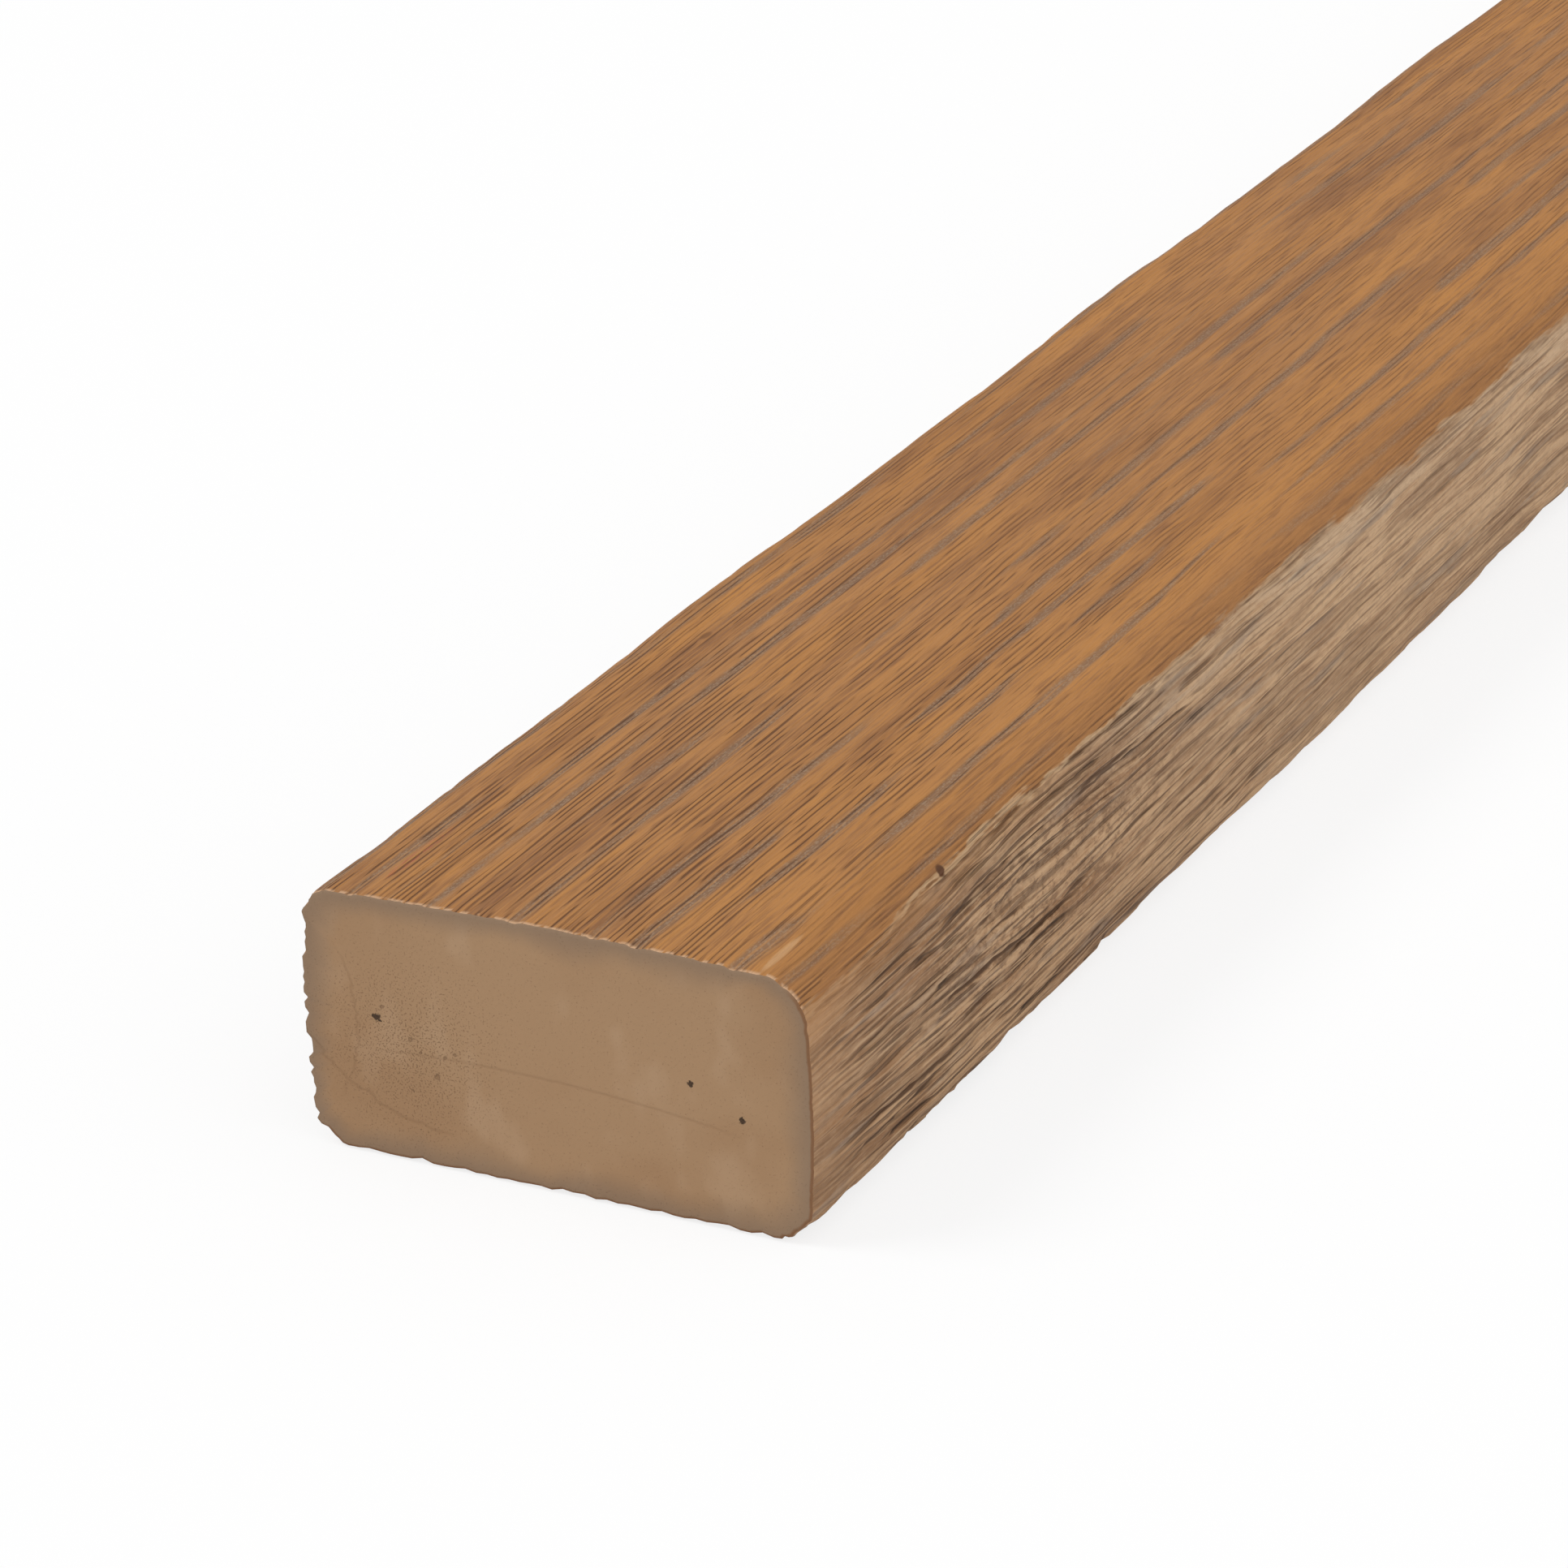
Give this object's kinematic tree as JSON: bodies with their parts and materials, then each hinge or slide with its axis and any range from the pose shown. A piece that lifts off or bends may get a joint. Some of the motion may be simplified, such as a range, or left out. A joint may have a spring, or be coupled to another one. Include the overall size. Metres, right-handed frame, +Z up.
{
  "type": "composite batten",
  "caption": "Moulded composite batten: a long solid bar twice as wide as thick, with rounded wavy edges and wood-grain faces, for trim, screens and cladding.",
  "frame": {"origin": "centre of the underside", "axes": "+X along the bar, pointing away from the sawn end nearest the viewer in the picture; +Y across the bar, to that viewer's left; +Z up, out of the crowned top face"},
  "size_m": [2.4, 0.05, 0.025],
  "materials": {
    "moulded_oak_finish": "matt golden-brown coat over embossed oak grain on the four long faces, bare fine-pored tan composite on the two sawn ends"
  },
  "bodies": {
    "root": {"batten": "moulded_oak_finish"}
  },
  "joints": []
}
